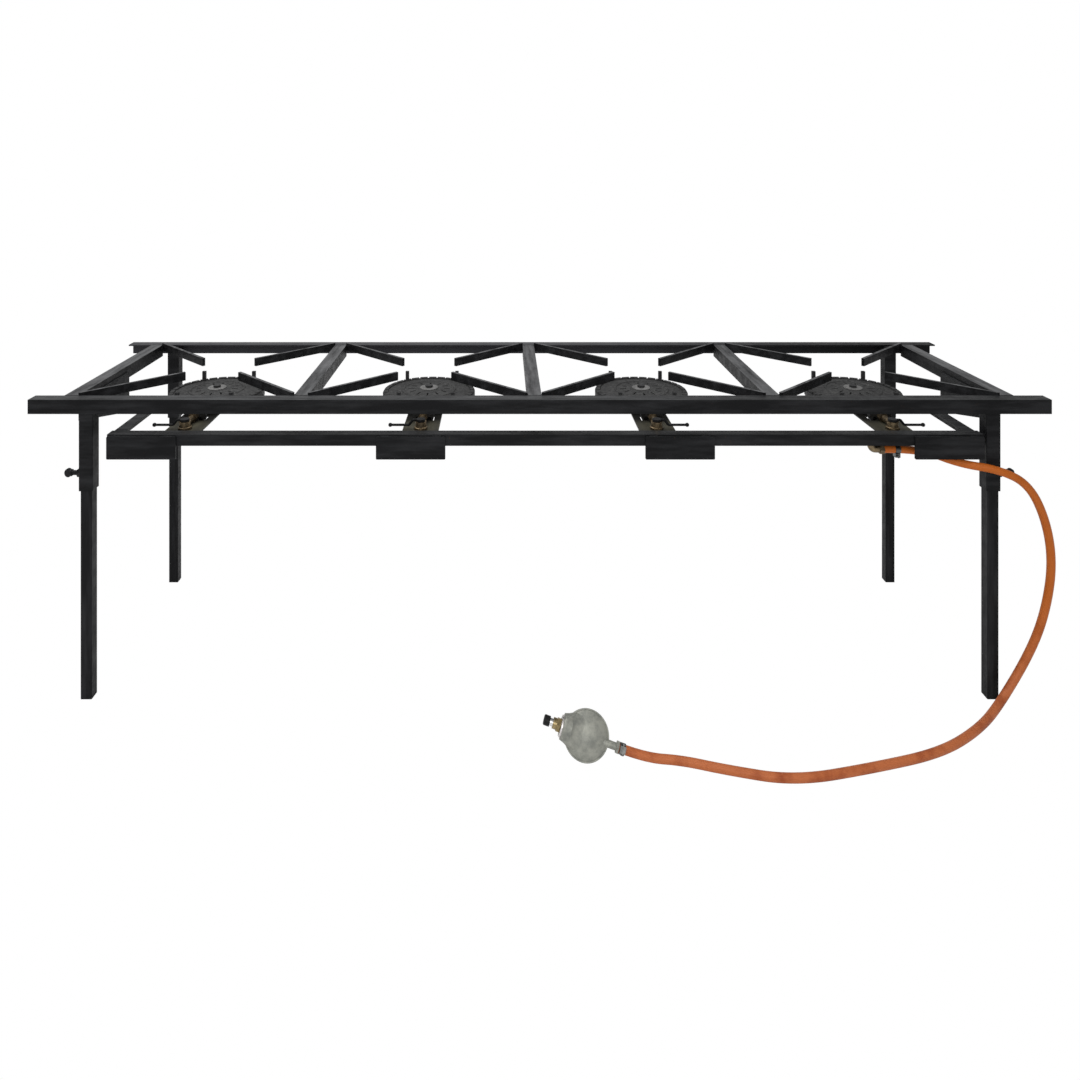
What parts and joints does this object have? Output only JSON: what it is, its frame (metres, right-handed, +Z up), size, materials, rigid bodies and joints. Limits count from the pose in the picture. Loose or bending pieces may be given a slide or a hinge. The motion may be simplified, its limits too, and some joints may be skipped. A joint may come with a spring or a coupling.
{
  "type": "gas stove",
  "caption": "Low free-standing gas stove: a long angle-steel frame on adjustable legs, with a row of cast burners, pot bars, lever taps, a hose and a regulator.",
  "frame": {"origin": "centre of the footprint on the floor, under the middle of the top frame", "axes": "+X along the row of burners towards the gas inlet, -Y towards the cook, +Z up"},
  "size_m": [1.8004, 0.604, 0.535],
  "materials": {
    "frame_paint": "satin",
    "strap_steel": "matt",
    "socket_paint": "satin",
    "burner_iron": "rough cast",
    "cap_iron": "rough cast",
    "zinc": "zinc plated",
    "tap_brass": "dull",
    "lever_steel": "satin",
    "pipe_paint": "satin",
    "hose_rubber": "satin",
    "regulator_zinc": "satin",
    "nut_brass": "satin",
    "tip_rubber": "matt"
  },
  "bodies": {
    "frame": {"front_rail": "frame_paint", "back_rail": "frame_paint", "cross_bar_1": "frame_paint", "cross_bar_2": "frame_paint", "cross_bar_3": "frame_paint", "cross_bar_4": "frame_paint", "cross_bar_5": "frame_paint", "pot_bars_1": "frame_paint", "pot_bars_2": "frame_paint", "pot_bars_3": "frame_paint", "pot_bars_4": "frame_paint", "lower_front_rail": "frame_paint", "lower_frame_bars": "frame_paint", "hanger_plates": "frame_paint", "front_plates": "frame_paint", "leg_socket_1": "socket_paint", "leg_socket_2": "socket_paint", "leg_socket_3": "socket_paint", "leg_socket_4": "socket_paint", "socket_nuts": "socket_paint", "burner_straps": "strap_steel", "burner_bowl_1": "burner_iron", "burner_bowl_2": "burner_iron", "burner_bowl_3": "burner_iron", "burner_bowl_4": "burner_iron", "burner_cap_1": "cap_iron", "burner_cap_2": "cap_iron", "burner_cap_3": "cap_iron", "burner_cap_4": "cap_iron", "burner_bolts": "zinc", "gas_jets": "nut_brass", "tap_body_1": "tap_brass", "tap_body_2": "tap_brass", "tap_body_3": "tap_brass", "tap_body_4": "tap_brass", "gas_rail": "pipe_paint", "inlet_elbow": "tap_brass", "gas_hose": "hose_rubber", "hose_clips": "zinc", "regulator_body": "regulator_zinc", "regulator_cover": "regulator_zinc", "regulator_spigot": "zinc", "regulator_tip": "tip_rubber"},
    "leg_1_body": {"leg_1": "frame_paint"},
    "leg_2_body": {"leg_2": "frame_paint"},
    "leg_3_body": {"leg_3": "frame_paint"},
    "leg_4_body": {"leg_4": "frame_paint"},
    "screw_1_body": {"clamp_screw_1": "zinc"},
    "screw_2_body": {"clamp_screw_2": "zinc"},
    "screw_3_body": {"clamp_screw_3": "zinc"},
    "screw_4_body": {"clamp_screw_4": "zinc"},
    "tap_1_body": {"tap_lever_1": "lever_steel"},
    "tap_2_body": {"tap_lever_2": "lever_steel"},
    "tap_3_body": {"tap_lever_3": "lever_steel"},
    "tap_4_body": {"tap_lever_4": "lever_steel"},
    "shutter_1_body": {"air_shutter_1": "zinc"},
    "shutter_2_body": {"air_shutter_2": "zinc"},
    "shutter_3_body": {"air_shutter_3": "zinc"},
    "shutter_4_body": {"air_shutter_4": "zinc"},
    "regulator_nut_body": {"regulator_nut": "nut_brass"}
  },
  "joints": [
    {"name": "leg_1_slide", "type": "slide", "parent": "frame", "child": "leg_1_body", "axis": [0, 0, -1], "range_m": [0, 0.1]},
    {"name": "leg_2_slide", "type": "slide", "parent": "frame", "child": "leg_2_body", "axis": [0, 0, -1], "range_m": [0, 0.1]},
    {"name": "leg_3_slide", "type": "slide", "parent": "frame", "child": "leg_3_body", "axis": [0, 0, -1], "range_m": [0, 0.1]},
    {"name": "leg_4_slide", "type": "slide", "parent": "frame", "child": "leg_4_body", "axis": [0, 0, -1], "range_m": [0, 0.1]},
    {"name": "clamp_screw_1_turn", "type": "hinge", "parent": "frame", "child": "screw_1_body", "pos_m": [-0.82, -0.1915, 0.396], "axis": [-1, 0, 0], "range_deg": [0, 360]},
    {"name": "clamp_screw_2_turn", "type": "hinge", "parent": "frame", "child": "screw_2_body", "pos_m": [0.82, -0.1915, 0.396], "axis": [1, 0, 0], "range_deg": [0, 360]},
    {"name": "clamp_screw_3_turn", "type": "hinge", "parent": "frame", "child": "screw_3_body", "pos_m": [-0.82, 0.1915, 0.396], "axis": [-1, 0, 0], "range_deg": [0, 360]},
    {"name": "clamp_screw_4_turn", "type": "hinge", "parent": "frame", "child": "screw_4_body", "pos_m": [0.82, 0.1915, 0.396], "axis": [1, 0, 0], "range_deg": [0, 360]},
    {"name": "tap_1_turn", "type": "hinge", "parent": "frame", "child": "tap_1_body", "pos_m": [-0.639, -0.167, 0.4793], "axis": [0, 0, 1], "range_deg": [0, 90]},
    {"name": "tap_2_turn", "type": "hinge", "parent": "frame", "child": "tap_2_body", "pos_m": [-0.213, -0.167, 0.4793], "axis": [0, 0, 1], "range_deg": [0, 90]},
    {"name": "tap_3_turn", "type": "hinge", "parent": "frame", "child": "tap_3_body", "pos_m": [0.213, -0.167, 0.4793], "axis": [0, 0, -1], "range_deg": [0, 90]},
    {"name": "tap_4_turn", "type": "hinge", "parent": "frame", "child": "tap_4_body", "pos_m": [0.639, -0.167, 0.4793], "axis": [0, 0, -1], "range_deg": [0, 90]},
    {"name": "air_shutter_1_turn", "type": "hinge", "parent": "frame", "child": "shutter_1_body", "pos_m": [-0.639, -0.12, 0.4733], "axis": [0, -1, 0], "range_deg": [0, 60]},
    {"name": "air_shutter_2_turn", "type": "hinge", "parent": "frame", "child": "shutter_2_body", "pos_m": [-0.213, -0.12, 0.4733], "axis": [0, -1, 0], "range_deg": [0, 60]},
    {"name": "air_shutter_3_turn", "type": "hinge", "parent": "frame", "child": "shutter_3_body", "pos_m": [0.213, -0.12, 0.4733], "axis": [0, -1, 0], "range_deg": [0, 60]},
    {"name": "air_shutter_4_turn", "type": "hinge", "parent": "frame", "child": "shutter_4_body", "pos_m": [0.639, -0.12, 0.4733], "axis": [0, -1, 0], "range_deg": [0, 60]},
    {"name": "regulator_nut_spin", "type": "hinge", "parent": "frame", "child": "regulator_nut_body", "pos_m": [0.02169, -0.32701, 0.04587], "axis": [-0.9537, 0.1412, 0.2655], "continuous": true}
  ]
}
